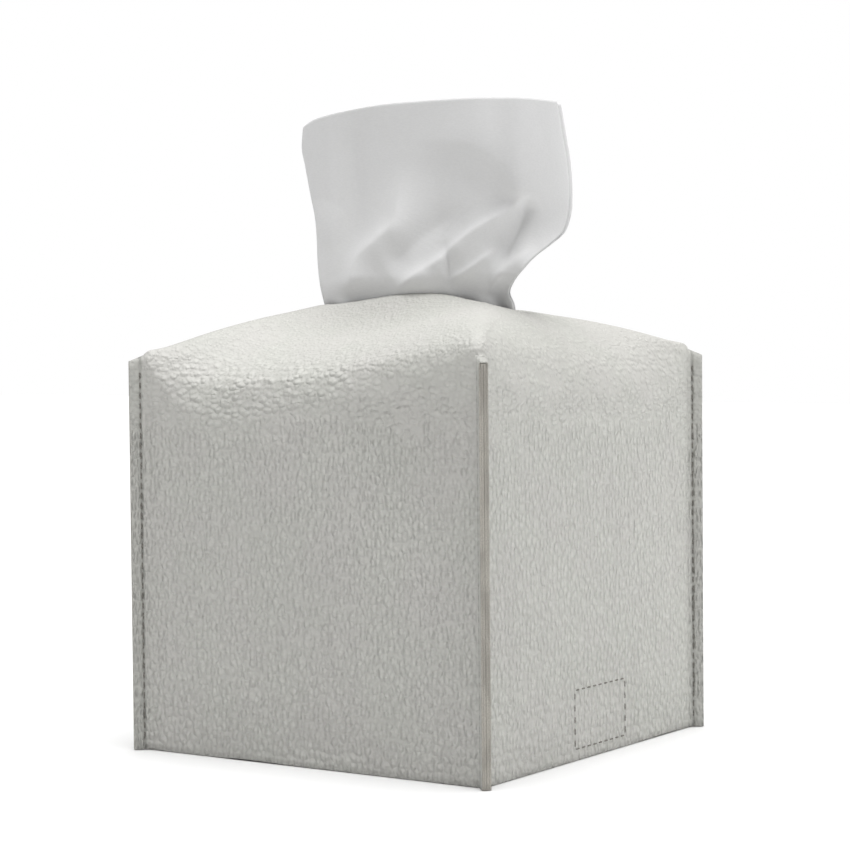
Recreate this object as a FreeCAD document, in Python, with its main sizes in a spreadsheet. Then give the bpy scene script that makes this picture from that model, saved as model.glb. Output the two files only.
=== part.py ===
import FreeCAD, Part

import math
import os

# Soft leather-look cover for a cube tissue carton, with its refill and one raised tissue.
# Origin at the middle of the underside, +Z up, -Y and +X the two faces seen in the photograph.

Vector = FreeCAD.Vector

# Driving sizes in millimetres: alias, value, meaning
SIZES = (
    ("carton_span", 110.0, "square refill carton that the cover goes over"),
    ("carton_clearance", 8.6, "carton to the inside of each panel"),
    ("leather_ply", 0.6, "grained outer skin of the cover's sheet"),
    ("backing_ply", 0.8, "backing behind the skin"),
    ("crease_rise", 9.4, "upper end of the corner creases, above the carton"),
    ("bend_drop", 25.5, "where the middle of a panel starts to bend in, below the creases' end"),
    ("crest_rise", 17.8, "top of the soft dome, above the creases' end"),
    ("fin_reach", 3.5, "corner crease to raw edge, along the diagonal"),
    ("fin_tip_drop", 2.5, "upper end of the raw edges, below the creases' end"),
    ("slot_length", 79.0, "slot in the dome, end to end"),
    ("slot_width", 18.0, "slot in the dome, across"),
    ("thread_width", 0.5, "stitch seen from above"),
    ("thread_rise", 0.3, "stitch above its leather"),
    ("stitch_length", 2.3, "one stitch"),
    ("stitch_pitch", 3.2, "stitch to stitch"),
    ("seam_margin", 3.0, "corner seam's first and last stitch from the ends"),
    ("belt_width", 35.0, "belt under the carton"),
    ("belt_ply", 1.2, "each of the belt's two plies"),
    ("belt_shift", 3.0, "belt's middle from the panel's middle, to +Y"),
    ("belt_seam_inset", 2.0, "belt's stitches from its edge"),
    ("belt_lift", 0.4, "belt's underside above the cover's rim"),
    ("anchor_top", 24.0, "upper end of the belt's sewn ends"),
    ("running_gap", 0.3, "clearance between pieces that move past each other"),
    ("overrun", 1.0, "how far a cut runs past what it cuts"),
    ("magnet_diameter", 14.0, "hold-shut magnet"),
    ("magnet_depth", 1.2, "hold-shut magnet"),
    ("pocket_gap", 0.05, "clearance around a magnet"),
    ("board", 0.5, "carton's board"),
    ("mouth_inset", 10.0, "carton's oval mouth from the carton's left and right faces"),
    ("mouth_width", 44.0, "carton's oval mouth"),
    ("film", 0.2, "film behind the mouth"),
    ("film_margin", 5.0, "film's glued border around the mouth"),
    ("slit_inset", 2.5, "each end of the film's slit from the same end of the slot"),
    ("slit_width", 4.6, "film's slit, spread by the tissue"),
    ("stack_clearance", 2.0, "stack from the carton's sides"),
    ("stack_height", 100.0, "folded tissues left in the carton"),
    ("stack_drop", 10.8, "top of the stack below the film"),
    ("tissue_thickness", 1.2, "creased tissue, its plies lying loosely"),
    ("tissue_left", 48.0, "raised tissue's reach to -X"),
    ("tissue_right", 58.0, "raised tissue's reach to +X"),
    ("tissue_rise", 62.0, "raised tissue above the dome"),
    ("foot_inset", 4.0, "tissue's foot from each end of the slit"),
    ("waist_inset_left", 1.6, "tissue's waist from the slot's left end"),
    ("waist_inset_right", 4.1, "tissue's waist from the slot's right end"),
    ("waist_drop", 2.3, "tissue's waist below the crest"),
    ("fold_depth", 8.0, "tissue's deepest fold"),
)

# The dome's loops, from the panels up: how far out from the slot, rise of the left and right
# sides at the slot's ends, rise of the front and back sides along the slot, rise of the corners
DOME_LOOP_SHARES = (
    (1.000, 0.00, 0.000, 0.00),
    (0.990, 0.14, 0.180, 0.08),
    (0.960, 0.30, 0.340, 0.19),
    (0.910, 0.45, 0.430, 0.30),
    (0.824, 0.58, 0.498, 0.43),
    (0.730, 0.67, 0.552, 0.53),
    (0.550, 0.78, 0.640, 0.67),
    (0.360, 0.86, 0.730, 0.79),
    (0.170, 0.93, 0.860, 0.90),
    (0.000, 1.00, 1.000, 1.00),
)
TOP_LOOP_SHARES = (0.88, 0.75)  # last loop's reach, of the slot's half length and half width
LEVEL_SHARE = 0.5  # middle part of each loop's side that stays level

# The raised tissue's sections: height above the waist, how far the left and right edges have
# spread from the waist's reach to their full reach, depth of folds
TISSUE_SECTION_SHARES = (
    (0.000, 0.00, 0.00, 0.08),
    (0.110, 0.23, 0.02, 0.20),
    (0.220, 0.33, 0.36, 0.45),
    (0.340, 0.38, 0.87, 0.80),
    (0.520, 0.58, 0.99, 1.00),
    (0.700, 0.82, 0.96, 0.95),
    (0.840, 1.00, 0.88, 0.80),
    (0.945, 0.71, 0.82, 0.60),
    (1.000, -0.38, 0.76, 0.45),
)
# Where one fold turns into the next, at the waist and at the top edge, and each fold's depth
WAIST_FOLD_SHARES = (0.00, 0.13, 0.28, 0.43, 0.57, 0.71, 0.86, 1.00)
TOP_FOLD_SHARES = (0.00, 0.19, 0.40, 0.55, 0.68, 0.80, 0.91, 1.00)
FOLD_SHARES = (-0.6, 1.0, -1.0, 0.8, -0.7, 0.9, -0.5)
NECK_STEPS = 3  # sections from the stack to the waist

doc = FreeCAD.newDocument("tissue_box_cover")
sheet = doc.addObject("Spreadsheet::Sheet", "sizes")
for row, (alias, value, meaning) in enumerate(SIZES, start=1):
    sheet.set(f"A{row}", str(value))
    sheet.set(f"B{row}", meaning)
    sheet.setAlias(f"A{row}", alias)
doc.recompute()


def size(alias):
    """A driving size as a number."""
    return float(sheet.get(alias))


def bind(item, **expressions):
    """Ties properties of an object to the driving sizes."""
    for path, expression in expressions.items():
        tied = expression.replace("[", "sizes.").replace("]", "")
        item.setExpression(path.replace("__", "."), tied)
    return item


# Heights and reaches that follow from the driving sizes, the belt and the refill first

inner_face = size("carton_span") / 2 + size("carton_clearance")
sheet_thickness = size("leather_ply") + size("backing_ply")
outer_face = inner_face + sheet_thickness
belt_thickness = 2 * size("belt_ply")
strap_base = size("belt_lift")
tab_base = strap_base + belt_thickness + size("running_gap") + size("thread_rise")
carton_foot = tab_base + belt_thickness + size("running_gap")
stack_top = carton_foot + size("board") + size("stack_height")
carton_top = stack_top + size("stack_drop") + size("film") + size("board")
crease_height = carton_top + size("crease_rise")
bend_height = crease_height - size("bend_drop")
crest_height = crease_height + size("crest_rise")
fin_tip_height = crease_height - size("fin_tip_drop")
pivot_x = inner_face - size("belt_ply") - size("running_gap")

# The same as expressions, for the primitives that are tied to the spreadsheet

INNER_FACE = "([carton_span] / 2 + [carton_clearance])"
BELT_BASE = {
    "strap": "[belt_lift]",
    "tab": "[belt_lift] + 2 * [belt_ply] + [running_gap] + [thread_rise]",
}
CARTON_FOOT = f"{BELT_BASE['tab']} + 2 * [belt_ply] + [running_gap]"
STACK_FOOT = f"{CARTON_FOOT} + [board]"
FILM_FOOT = f"{STACK_FOOT} + [stack_height] + [stack_drop]"
CARTON_HEIGHT = "[stack_height] + [stack_drop] + [film] + 2 * [board]"
BEND_HEIGHT = f"{FILM_FOOT} + [film] + [board] + [crease_rise] - [bend_drop]"
PIVOT_X = f"({INNER_FACE} - [belt_ply] - [running_gap])"


def box(name, length, width, height, x, y, z):
    """A box from its corner with the least x, y and z."""
    item = doc.addObject("Part::Box", name)
    bind(item, Length=length, Width=width, Height=height)
    return bind(
        item,
        Placement__Base__x=x,
        Placement__Base__y=y,
        Placement__Base__z=z,
    )


def disc(name, radius, height, x, y, z):
    """An upright cylinder on the middle of its underside."""
    item = doc.addObject("Part::Cylinder", name)
    bind(item, Radius=radius, Height=height)
    return bind(
        item,
        Placement__Base__x=x,
        Placement__Base__y=y,
        Placement__Base__z=z,
    )


def fuse(name, items):
    """Several objects as one solid."""
    item = doc.addObject("Part::MultiFuse", name)
    item.Shapes = items
    item.Refine = True
    return item


def cut(name, base, tool):
    """One object less another."""
    item = doc.addObject("Part::Cut", name)
    item.Base = base
    item.Tool = tool
    item.Refine = True
    return item


def feature(name, shape, turn=0):
    """A shape worked out below, as an object turned about +Z."""
    item = doc.addObject("Part::Feature", name)
    item.Shape = shape
    item.Placement = FreeCAD.Placement(Vector(), FreeCAD.Rotation(Vector(0, 0, 1), turn))
    return item


def oval(name, length, width, z, height):
    """A bar with round ends along X, for slots and plates."""
    reach = f"(({length}) - ({width})) / 2"
    middle = box(
        f"{name}_middle",
        f"({length}) - ({width})",
        width,
        height,
        f"-{reach}",
        f"-({width}) / 2",
        z,
    )
    ends = [
        disc(f"{name}_left", f"({width}) / 2", height, f"-{reach}", "0", z),
        disc(f"{name}_right", f"({width}) / 2", height, reach, "0", z),
    ]
    return fuse(name, [middle] + ends)


# The domed shell


def side_edges(out, half, side_height, corner_height):
    """One side of a loop at x = out: an arc down from the corner, a level run, an arc up."""
    rise = corner_height - side_height
    # An arc that rises more than its run would bulge past the corner, so the level run gives way.
    run = max(half - half * LEVEL_SHARE, rise)
    turn_y = half - run
    points = [
        Vector(out, -half, corner_height),
        Vector(out, -turn_y, side_height),
        Vector(out, turn_y, side_height),
        Vector(out, half, corner_height),
    ]
    level = Part.LineSegment(points[1], points[2]).toShape()
    if rise == 0:
        first = Part.LineSegment(points[0], points[1]).toShape()
        last = Part.LineSegment(points[2], points[3]).toShape()
        return [first, level, last]
    sweep = 2 * math.atan2(rise, run)
    radius = run / math.sin(sweep)
    along = turn_y + radius * math.sin(sweep / 2)
    above = side_height + radius * (1 - math.cos(sweep / 2))
    first = Part.Arc(points[0], Vector(out, -along, above), points[1]).toShape()
    last = Part.Arc(points[2], Vector(out, along, above), points[3]).toShape()
    return [first, level, last]


def turned(shape, quarters):
    """A copy of a shape, turned about +Z by quarter turns."""
    copy = shape.copy()
    copy.rotate(Vector(), Vector(0, 0, 1), 90 * quarters)
    return copy


def dome_solid(inset):
    """The closed form under the cover's sheet, inset from its outer face."""
    half = outer_face - inset
    side_base = bend_height
    corner_base = crease_height - inset
    crest = crest_height - inset
    top = [
        size("slot_length") / 2 * TOP_LOOP_SHARES[0],
        size("slot_width") / 2 * TOP_LOOP_SHARES[1],
    ]
    loops = []
    for out_share, end_share, long_share, corner_share in DOME_LOOP_SHARES:
        reach = [inner + (half - inner) * out_share for inner in top]
        corner_height = corner_base + (crest - corner_base) * corner_share
        edges = []
        for quarter in range(4):
            out, along = reach if quarter % 2 == 0 else reversed(reach)
            side_share = long_share if quarter % 2 else end_share
            side_height = side_base + (crest - side_base) * side_share
            side = side_edges(out, along, side_height, corner_height)
            edges += [turned(edge, quarter) for edge in side]
        loops.append(Part.Wire(edges))
    faces = list(Part.makeLoft(loops, False, False).Faces)
    foot = [Vector(half, -half, 0), Vector(half, half, 0)]
    top_edges = side_edges(half, half, side_base, corner_base)
    panel_edges = [
        Part.makeLine(foot[0], foot[1]),
        Part.makeLine(foot[1], Vector(half, half, corner_base)),
        Part.makeLine(foot[0], Vector(half, -half, corner_base)),
    ]
    panel = Part.Face(Part.Wire(Part.__sortEdges__(panel_edges + top_edges)))
    faces += [turned(panel, q) for q in range(4)]
    corners = [Vector(half, half, 0), Vector(-half, half, 0)]
    corners += [Vector(-half, -half, 0), Vector(half, -half, 0)]
    faces.append(Part.Face(Part.makePolygon(corners + corners[:1])))
    faces.append(Part.Face(loops[-1]))
    shell = Part.makeShell(faces)
    shell.sewShape()
    solid = Part.makeSolid(Part.makeShell(shell.Faces))
    if solid.Volume < 0:
        solid.reverse()
    return solid


def fin_solid(half_thickness, inner, reach):
    """An upright plate on each corner's diagonal, from inside the walls to past the crease."""
    crease = outer_face * math.sqrt(2)
    outline = [
        Vector(inner, -half_thickness, 0),
        Vector(crease + reach, -half_thickness, 0),
        Vector(crease + reach, -half_thickness, fin_tip_height),
        Vector(crease, -half_thickness, crease_height),
        Vector(inner, -half_thickness, crease_height),
    ]
    face = Part.Face(Part.makePolygon(outline + outline[:1]))
    plate = face.extrude(Vector(0, 2 * half_thickness, 0))
    plate.rotate(Vector(), Vector(0, 0, 1), 45)
    return Part.makeCompound([turned(plate, q) for q in range(4)])


crease_radius = outer_face * math.sqrt(2)
fin_inner = crease_radius - sheet_thickness
core_inner = crease_radius - sheet_thickness * math.sqrt(2)

outer_dome = feature("outer_dome", dome_solid(0))
middle_dome = feature("middle_dome", dome_solid(size("leather_ply")))
inner_dome = feature("inner_dome", dome_solid(sheet_thickness))
fins = feature("fins", fin_solid(sheet_thickness, fin_inner, size("fin_reach")))
fin_cores = feature(
    "fin_cores",
    fin_solid(size("backing_ply"), core_inner, size("fin_reach")),
)

slot = oval(
    "slot",
    "[slot_length]",
    "[slot_width]",
    BEND_HEIGHT,
    "[bend_drop] + [crest_rise] + [overrun]",
)
outer_form = fuse("outer_form", [outer_dome, fins])
middle_form = fuse("middle_form", [middle_dome, fin_cores])
skin_blank = cut("skin_blank", outer_form, middle_form)
backing_blank = cut("backing_blank", middle_form, inner_dome)
cover_leather = cut("cover_leather", skin_blank, slot)
cover_backing = cut("cover_backing", backing_blank, slot)


# Stitches


def stitches(start, end, out):
    """Evenly spaced stitches on the line from start to end, standing out of the leather."""
    run = end - start
    count = max(1, int(run.Length / size("stitch_pitch")))
    step = run / count
    along = run.normalize()
    across = out.cross(along)
    turn = FreeCAD.Rotation(along, across, out, "XZY")
    bars = []
    for number in range(count):
        centre = start + step * (number + 0.5)
        corner = centre - along * (size("stitch_length") / 2)
        corner -= across * (size("thread_width") / 2)
        bar = Part.makeBox(size("stitch_length"), size("thread_width"), size("thread_rise"))
        bar.Placement = FreeCAD.Placement(corner, turn)
        bars.append(bar)
    return bars


def corner_stitches():
    """Both faces of a fin that points along +X, in the crease."""
    low = size("seam_margin")
    high = fin_tip_height - size("seam_margin")
    foot_radius = crease_radius - sheet_thickness + size("thread_width")
    bars = []
    for side in (-1, 1):
        start = Vector(foot_radius, side * sheet_thickness, low)
        end = Vector(foot_radius, side * sheet_thickness, high)
        bars += stitches(start, end, Vector(0, side, 0))
    return Part.makeCompound(bars)


CORNERS = ("back_right", "back_left", "front_left", "front_right")
corner_seams = [
    feature(f"corner_stitch_{corner}", corner_stitches(), 45 + 90 * quarters)
    for quarters, corner in enumerate(CORNERS)
]


# The belt: two tongues that overlap under the carton, each sewn to a panel


def tongue_ply(half, layer, side):
    """One ply: a level run with a half-round free end and a rounded hinged end."""
    name = f"{half}_{layer}_ply"
    base = BELT_BASE[half]
    middle = f"{base} + [belt_ply]"
    z = base if layer == "lower" else middle
    run_x = "0" if side > 0 else f"-{PIVOT_X}"
    run = box(
        f"{name}_run",
        PIVOT_X,
        "[belt_width]",
        "[belt_ply]",
        run_x,
        "[belt_shift] - [belt_width] / 2",
        z,
    )
    tip = disc(f"{name}_tip", "[belt_width] / 2", "[belt_ply]", "0", "[belt_shift]", z)
    bend = doc.addObject("Part::Cylinder", f"{name}_bend")
    bind(bend, Radius="[belt_ply]", Height="[belt_width]")
    bend.Angle = 90
    # The quarter round lies about the hinge line, which runs along Y.
    start = {(1, "lower"): 0, (1, "upper"): 270, (-1, "lower"): 90, (-1, "upper"): 180}
    upright = FreeCAD.Rotation(Vector(1, 0, 0), -90)
    spin = FreeCAD.Rotation(Vector(0, 0, 1), start[(side, layer)])
    bend.Placement = FreeCAD.Placement(Vector(), upright * spin)
    bind(
        bend,
        Placement__Base__x=PIVOT_X if side > 0 else f"-{PIVOT_X}",
        Placement__Base__y="[belt_shift] - [belt_width] / 2",
        Placement__Base__z=middle,
    )
    blank = fuse(f"{name}_blank", [run, tip, bend])
    pocket = disc(
        f"{name}_pocket",
        "[magnet_diameter] / 2 + [pocket_gap]",
        "[magnet_depth] + 2 * [pocket_gap]",
        "0",
        "[belt_shift]",
        f"{middle} - [magnet_depth] / 2 - [pocket_gap]",
    )
    return cut(name, blank, pocket)


def tongue_magnet(half):
    """The disc between a tongue's two plies, near its free end."""
    return disc(
        f"{half}_magnet",
        "[magnet_diameter] / 2",
        "[magnet_depth]",
        "0",
        "[belt_shift]",
        f"{BELT_BASE[half]} + [belt_ply] - [magnet_depth] / 2",
    )


def tongue_stitches(half, side, base):
    """The seam around a tongue's underside: two straight rows and the round end."""
    inset = size("belt_width") / 2 - size("belt_seam_inset")
    shift = size("belt_shift")
    down = Vector(0, 0, -1)
    bars = []
    for edge in (-1, 1):
        start = Vector(0, shift + edge * inset, base)
        end = Vector(side * (pivot_x - size("belt_ply")), shift + edge * inset, base)
        bars += stitches(start, end, down)
    count = int(math.pi * inset / size("stitch_pitch"))
    half_chord = inset * math.sin(math.pi / count / 2)
    for number in range(count):
        turn = math.pi / 2 + math.pi * (number + 0.5) / count
        middle = Vector(side * inset * math.cos(turn), shift + inset * math.sin(turn), base)
        along = Vector(-side * math.sin(turn), math.cos(turn), 0)
        bars += stitches(middle - along * half_chord, middle + along * half_chord, down)
    return feature(f"{half}_edge_stitch", Part.makeCompound(bars))


def anchor(half, side, gap):
    """The sewn end of a tongue, flat against the inside of its panel."""
    foot = f"{BELT_BASE[half]} + 2 * [belt_ply]{gap}"
    x = f"{INNER_FACE} - 2 * [belt_ply]" if side > 0 else f"-{INNER_FACE}"
    return box(
        f"{half}_anchor",
        "2 * [belt_ply]",
        "[belt_width]",
        f"[anchor_top] - ({foot})",
        x,
        "[belt_shift] - [belt_width] / 2",
        foot,
    )


def box_stitches(half, side, foot):
    """The stitched rectangle that shows on the panel's outer face."""
    face = side * outer_face
    reach = size("belt_width") / 2 - size("belt_seam_inset")
    shift = size("belt_shift")
    low = foot + size("thread_width")
    high = size("anchor_top") - size("belt_seam_inset")
    out = Vector(side, 0, 0)
    bars = []
    for z in (low, high):
        start = Vector(face, shift - reach, z)
        end = Vector(face, shift + reach, z)
        bars += stitches(start, end, out)
    for y in (shift - reach, shift + reach):
        start = Vector(face, y, low + size("thread_width"))
        end = Vector(face, y, high - size("thread_width"))
        bars += stitches(start, end, out)
    return feature(f"{half}_box_stitch", Part.makeCompound(bars))


belt_pieces = []
for half, side, base in (("strap", 1, strap_base), ("tab", -1, tab_base)):
    gap = " + [running_gap]" if half == "strap" else ""
    foot = base + belt_thickness + (size("running_gap") if half == "strap" else 0)
    belt_pieces += [
        tongue_ply(half, "lower", side),
        tongue_ply(half, "upper", side),
        tongue_magnet(half),
        tongue_stitches(half, side, base),
        anchor(half, side, gap),
        box_stitches(half, side, foot),
    ]


# The refill: carton, film and folded tissues


def square_block(name, span, height, z):
    """A square block centred on the cover's axis."""
    return box(name, span, span, height, f"-({span}) / 2", f"-({span}) / 2", z)


MOUTH_LENGTH = "([carton_span] - 2 * [mouth_inset])"

carton_outside = square_block("carton_outside", "[carton_span]", CARTON_HEIGHT, CARTON_FOOT)
carton_room = square_block(
    "carton_room",
    "[carton_span] - 2 * [board]",
    f"{CARTON_HEIGHT} - 2 * [board]",
    STACK_FOOT,
)
carton_shell = cut("carton_shell", carton_outside, carton_room)
mouth = oval(
    "mouth",
    MOUTH_LENGTH,
    "[mouth_width]",
    FILM_FOOT,
    "[film] + [board] + [overrun]",
)
carton = cut("carton", carton_shell, mouth)

film_blank = oval(
    "film_blank",
    f"{MOUTH_LENGTH} + 2 * [film_margin]",
    "[mouth_width] + 2 * [film_margin]",
    FILM_FOOT,
    "[film]",
)
slit = oval(
    "slit",
    "[slot_length] - 2 * [slit_inset]",
    "[slit_width]",
    f"{FILM_FOOT} - [overrun]",
    "[film] + 2 * [overrun]",
)
carton_film = cut("carton_film", film_blank, slit)

tissue_stack = square_block(
    "tissue_stack",
    "[carton_span] - 2 * [board] - 2 * [stack_clearance]",
    "[stack_height]",
    STACK_FOOT,
)


# The raised tissue


def tissue_section(height, left, right, depth, lean):
    """A wavy ribbon of arcs, one for each fold, as a closed wire."""
    half_ply = size("tissue_thickness") / 2
    xs = []
    for waist_share, top_share in zip(WAIST_FOLD_SHARES, TOP_FOLD_SHARES):
        share = waist_share + (top_share - waist_share) * lean
        xs.append(-left + (left + right) * share)
    rows = []
    for offset in (-half_ply, half_ply):
        arcs = []
        for start, end, fold_share in zip(xs[:-1], xs[1:], FOLD_SHARES):
            crown = Vector((start + end) / 2, offset + depth * fold_share, height)
            begin = Vector(start, offset, height)
            finish = Vector(end, offset, height)
            arcs.append(Part.Arc(begin, crown, finish).toShape())
        rows.append(arcs)
    ends = [
        Part.makeLine(Vector(x, -half_ply, height), Vector(x, half_ply, height))
        for x in (xs[-1], xs[0])
    ]
    outline = rows[0] + [ends[0]] + rows[1][::-1] + [ends[1]]
    return Part.Wire(Part.__sortEdges__(outline))


def tissue_solid():
    """A narrow foot on the stack, up through slit and slot, then fanned out in folds."""
    slot_half = size("slot_length") / 2
    foot_height = stack_top + size("running_gap")
    foot = slot_half - size("slit_inset") - size("foot_inset")
    waist = crest_height - size("waist_drop")
    span = size("tissue_rise") + size("waist_drop")
    left = slot_half - size("waist_inset_left")
    right = slot_half - size("waist_inset_right")
    depth = size("fold_depth")
    waist_depth = depth * TISSUE_SECTION_SHARES[0][-1]
    wires = []
    for step in range(NECK_STEPS):
        share = step / NECK_STEPS
        wires.append(
            tissue_section(
                foot_height + (waist - foot_height) * share,
                foot + (left - foot) * share,
                foot + (right - foot) * share,
                waist_depth,
                0,
            )
        )
    for rise_share, left_share, right_share, fold_share in TISSUE_SECTION_SHARES:
        wires.append(
            tissue_section(
                waist + span * rise_share,
                left + (size("tissue_left") - left) * left_share,
                right + (size("tissue_right") - right) * right_share,
                depth * fold_share,
                rise_share,
            )
        )
    return Part.makeLoft(wires, True, False)


tissue = feature("tissue", tissue_solid())

# Checks, then one file for each piece

doc.recompute()
for item in doc.Objects:
    if "Invalid" in item.State or "Error" in item.State:
        raise RuntimeError(f"{item.Name} failed: {item.State}")

pieces = [cover_leather, cover_backing, *corner_seams, *belt_pieces]
pieces += [carton, carton_film, tissue_stack, tissue]
os.makedirs("parts", exist_ok=True)
for piece in pieces:
    piece.Label = piece.Name
    shape = piece.Shape
    if shape.isNull() or not shape.isValid():
        raise RuntimeError(f"{piece.Name} has no valid shape")
for piece in pieces:
    shape = piece.Shape
    shape.exportStep(os.path.join("parts", f"{piece.Label}.step"))
    print(piece.Label, len(shape.Solids), round(shape.Volume, 1))
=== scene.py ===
import math
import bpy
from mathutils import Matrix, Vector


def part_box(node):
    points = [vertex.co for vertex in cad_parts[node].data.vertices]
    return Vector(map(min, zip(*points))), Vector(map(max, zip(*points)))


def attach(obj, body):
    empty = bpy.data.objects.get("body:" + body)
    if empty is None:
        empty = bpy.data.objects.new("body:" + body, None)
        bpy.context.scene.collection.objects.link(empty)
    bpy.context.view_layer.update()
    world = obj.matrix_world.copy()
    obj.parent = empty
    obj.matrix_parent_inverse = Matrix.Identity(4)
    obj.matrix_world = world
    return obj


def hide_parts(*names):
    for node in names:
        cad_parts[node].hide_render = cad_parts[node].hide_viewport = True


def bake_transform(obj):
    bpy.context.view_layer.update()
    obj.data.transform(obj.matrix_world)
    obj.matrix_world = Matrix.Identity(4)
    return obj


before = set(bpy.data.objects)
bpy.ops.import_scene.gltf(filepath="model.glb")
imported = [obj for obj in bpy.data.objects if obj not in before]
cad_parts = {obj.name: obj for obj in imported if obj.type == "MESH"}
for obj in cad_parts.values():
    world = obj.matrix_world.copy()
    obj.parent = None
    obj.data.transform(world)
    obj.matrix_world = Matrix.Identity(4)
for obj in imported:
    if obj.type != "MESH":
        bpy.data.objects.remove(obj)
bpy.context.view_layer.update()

from types import SimpleNamespace

import bpy
import numpy as np

bl_info = {
    "name": "Tissue Box Cover",
    "version": (1, 0, 0),
    "blender": (4, 5, 0),
    "location": "View3D > Sidebar > Tissue Cover",
    "description": "Soft leather cover for a cube tissue carton, with its belt, refill and raised tissue",
    "category": "Object",
}

MM = 0.001
# Millimetres within which a piece's own points are one
MERGE = 0.001
# The cover's sides in turn, anticlockwise seen from above
RIGHT, BACK, LEFT, FRONT = range(4)
SIDES = 4


# Sizes and colours that a user would change


def length(name, description, default):
    """A length property, given in millimetres and kept in metres."""
    return bpy.props.FloatProperty(
        name=name,
        description=description,
        default=default * MM,
        min=0.0,
        unit="LENGTH",
        subtype="DISTANCE",
        precision=5,
    )


def turn(name, description, degrees):
    """An angle property, given in degrees and kept in radians."""
    return bpy.props.FloatProperty(
        name=name, description=description, default=math.radians(degrees), unit="ROTATION", subtype="ANGLE"
    )


def number(name, description, default, low, high, **kind):
    """A number property with its two limits."""
    return bpy.props.FloatProperty(
        name=name, description=description, default=default, min=low, max=high, **kind
    )


def colour(name, description, default):
    """A colour property without alpha."""
    return bpy.props.FloatVectorProperty(
        name=name, description=description, default=default, min=0.0, max=1.0, size=3, subtype="COLOR"
    )


class TISSUECOVER_PG_cover(bpy.types.PropertyGroup):
    panel_half: length("Panel Half Width", "Cover's axis to a panel's outer face", 65.0)
    bend_height: length("Bend Height", "Where the middle of a panel starts to bend in", 102.0)
    crease_height: length("Crease Height", "Upper end of the corner creases", 127.0)
    crest_height: length("Crest Height", "Top of the soft dome", 145.3)
    leather_ply: length("Leather Thickness", "Grained outer skin of the sheet", 0.6)
    backing_ply: length("Backing Thickness", "Backing behind the skin", 0.8)
    fin_reach: length("Fin Reach", "Corner crease to raw edge, along the diagonal", 3.5)
    fin_tip_height: length("Fin Tip Height", "Upper end of the raw edges", 125.0)
    slot_length: length("Slot Length", "Slot in the dome, end to end", 79.0)
    slot_width: length("Slot Width", "Slot in the dome, across", 18.0)
    softness: number("Softness", "How much the sheet ripples", 1.0, 0.0, 2.0, subtype="FACTOR")


class TISSUECOVER_PG_thread(bpy.types.PropertyGroup):
    width: length("Thread Width", "Stitch seen from above", 0.5)
    rise: length("Thread Rise", "Stitch above its leather", 0.3)
    stitch: length("Stitch Length", "One stitch", 2.3)
    pitch: length("Stitch Pitch", "Stitch to stitch", 3.2)
    seam_margin: length("Seam Margin", "First and last stitch from a fin's ends", 3.0)
    belt_inset: length("Belt Seam Inset", "Belt's stitches from its edge", 2.0)


class TISSUECOVER_PG_belt(bpy.types.PropertyGroup):
    width: length("Belt Width", "Belt under the carton", 35.0)
    shift: length("Belt Shift", "Belt's middle from the panel's middle", 3.0)
    ply: length("Belt Ply", "Each of the belt's two plies", 1.2)
    bend: length("Bend Radius", "Middle of the belt where it turns up the panel", 2.0)
    anchor_top: length("Sewn End Height", "Upper end of the belt's sewn ends", 24.0)


class TISSUECOVER_PG_refill(bpy.types.PropertyGroup):
    board: length("Board", "Carton's board", 0.5)
    mouth_length: length("Mouth Length", "Carton's oval mouth", 90.0)
    mouth_width: length("Mouth Width", "Carton's oval mouth, across", 44.0)
    fold_count: bpy.props.IntProperty(
        name="Folds in the Stack",
        description="Folded tissues whose edges show on the stack's sides",
        default=44,
        min=4,
        max=120,
    )


class TISSUECOVER_PG_tissue(bpy.types.PropertyGroup):
    paper: length("Paper Thickness", "One layer of the raised tissue", 0.25)
    parting: length("Layer Parting", "Half the space between the two layers", 0.45)
    flat_width: length("Sheet Width", "Unfolded tissue, across", 210.0)
    flat_length: length("Raised Length", "Half of the tissue, and what follows it out of the stack", 113.0)


class TISSUECOVER_PG_finish(bpy.types.PropertyGroup):
    leather: colour("Leather", "Grained off-white skin", (0.552, 0.552, 0.517))
    backing: colour("Backing", "Brushed backing and raw edges", (0.42, 0.40, 0.36))
    # Darker than the thread itself: painted shade of the stitch holes that the stitches sit in
    thread: colour("Thread", "Sewing thread", (0.21, 0.20, 0.18))
    board: colour("Board", "Carton's paperboard", (0.62, 0.60, 0.57))
    paper: colour("Tissue", "Soft paper", (0.72, 0.72, 0.72))
    metal: colour("Magnet", "Nickel plating", (0.62, 0.62, 0.64))
    film: colour("Film", "Clear film behind the mouth", (0.90, 0.93, 0.95))


class TISSUECOVER_PG_stage(bpy.types.PropertyGroup):
    floor: colour("Floor", "Plain pale floor", (0.81, 0.81, 0.81))
    sky_light: number("Sky Light", "Even light from all round", 0.17, 0.0, 5.0)
    sky_seen: number("Backdrop", "How bright the space behind the object is", 1.0, 0.0, 5.0)
    camera_azimuth: turn("Camera Azimuth", "Photograph's direction of view, 0 looking along +Y", 34.083)
    camera_pitch: turn("Camera Pitch", "Photograph's view below the horizon", 2.351)
    camera_roll: turn("Camera Roll", "Photograph's tilt", -0.526)
    camera_place: bpy.props.FloatVectorProperty(
        name="Camera Place",
        description="Where the photograph was taken from",
        default=(0.451255, -0.665074, 0.135998),
        size=3,
        unit="LENGTH",
        subtype="TRANSLATION",
    )
    camera_lens: number(
        "Camera Lens", "Focal length on a sensor 36 mm wide", 103.82, 1.0, 1000.0, unit="CAMERA"
    )


GROUPS = {
    "tissuecover_cover": TISSUECOVER_PG_cover,
    "tissuecover_thread": TISSUECOVER_PG_thread,
    "tissuecover_belt": TISSUECOVER_PG_belt,
    "tissuecover_refill": TISSUECOVER_PG_refill,
    "tissuecover_tissue": TISSUECOVER_PG_tissue,
    "tissuecover_finish": TISSUECOVER_PG_finish,
    "tissuecover_stage": TISSUECOVER_PG_stage,
}


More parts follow.
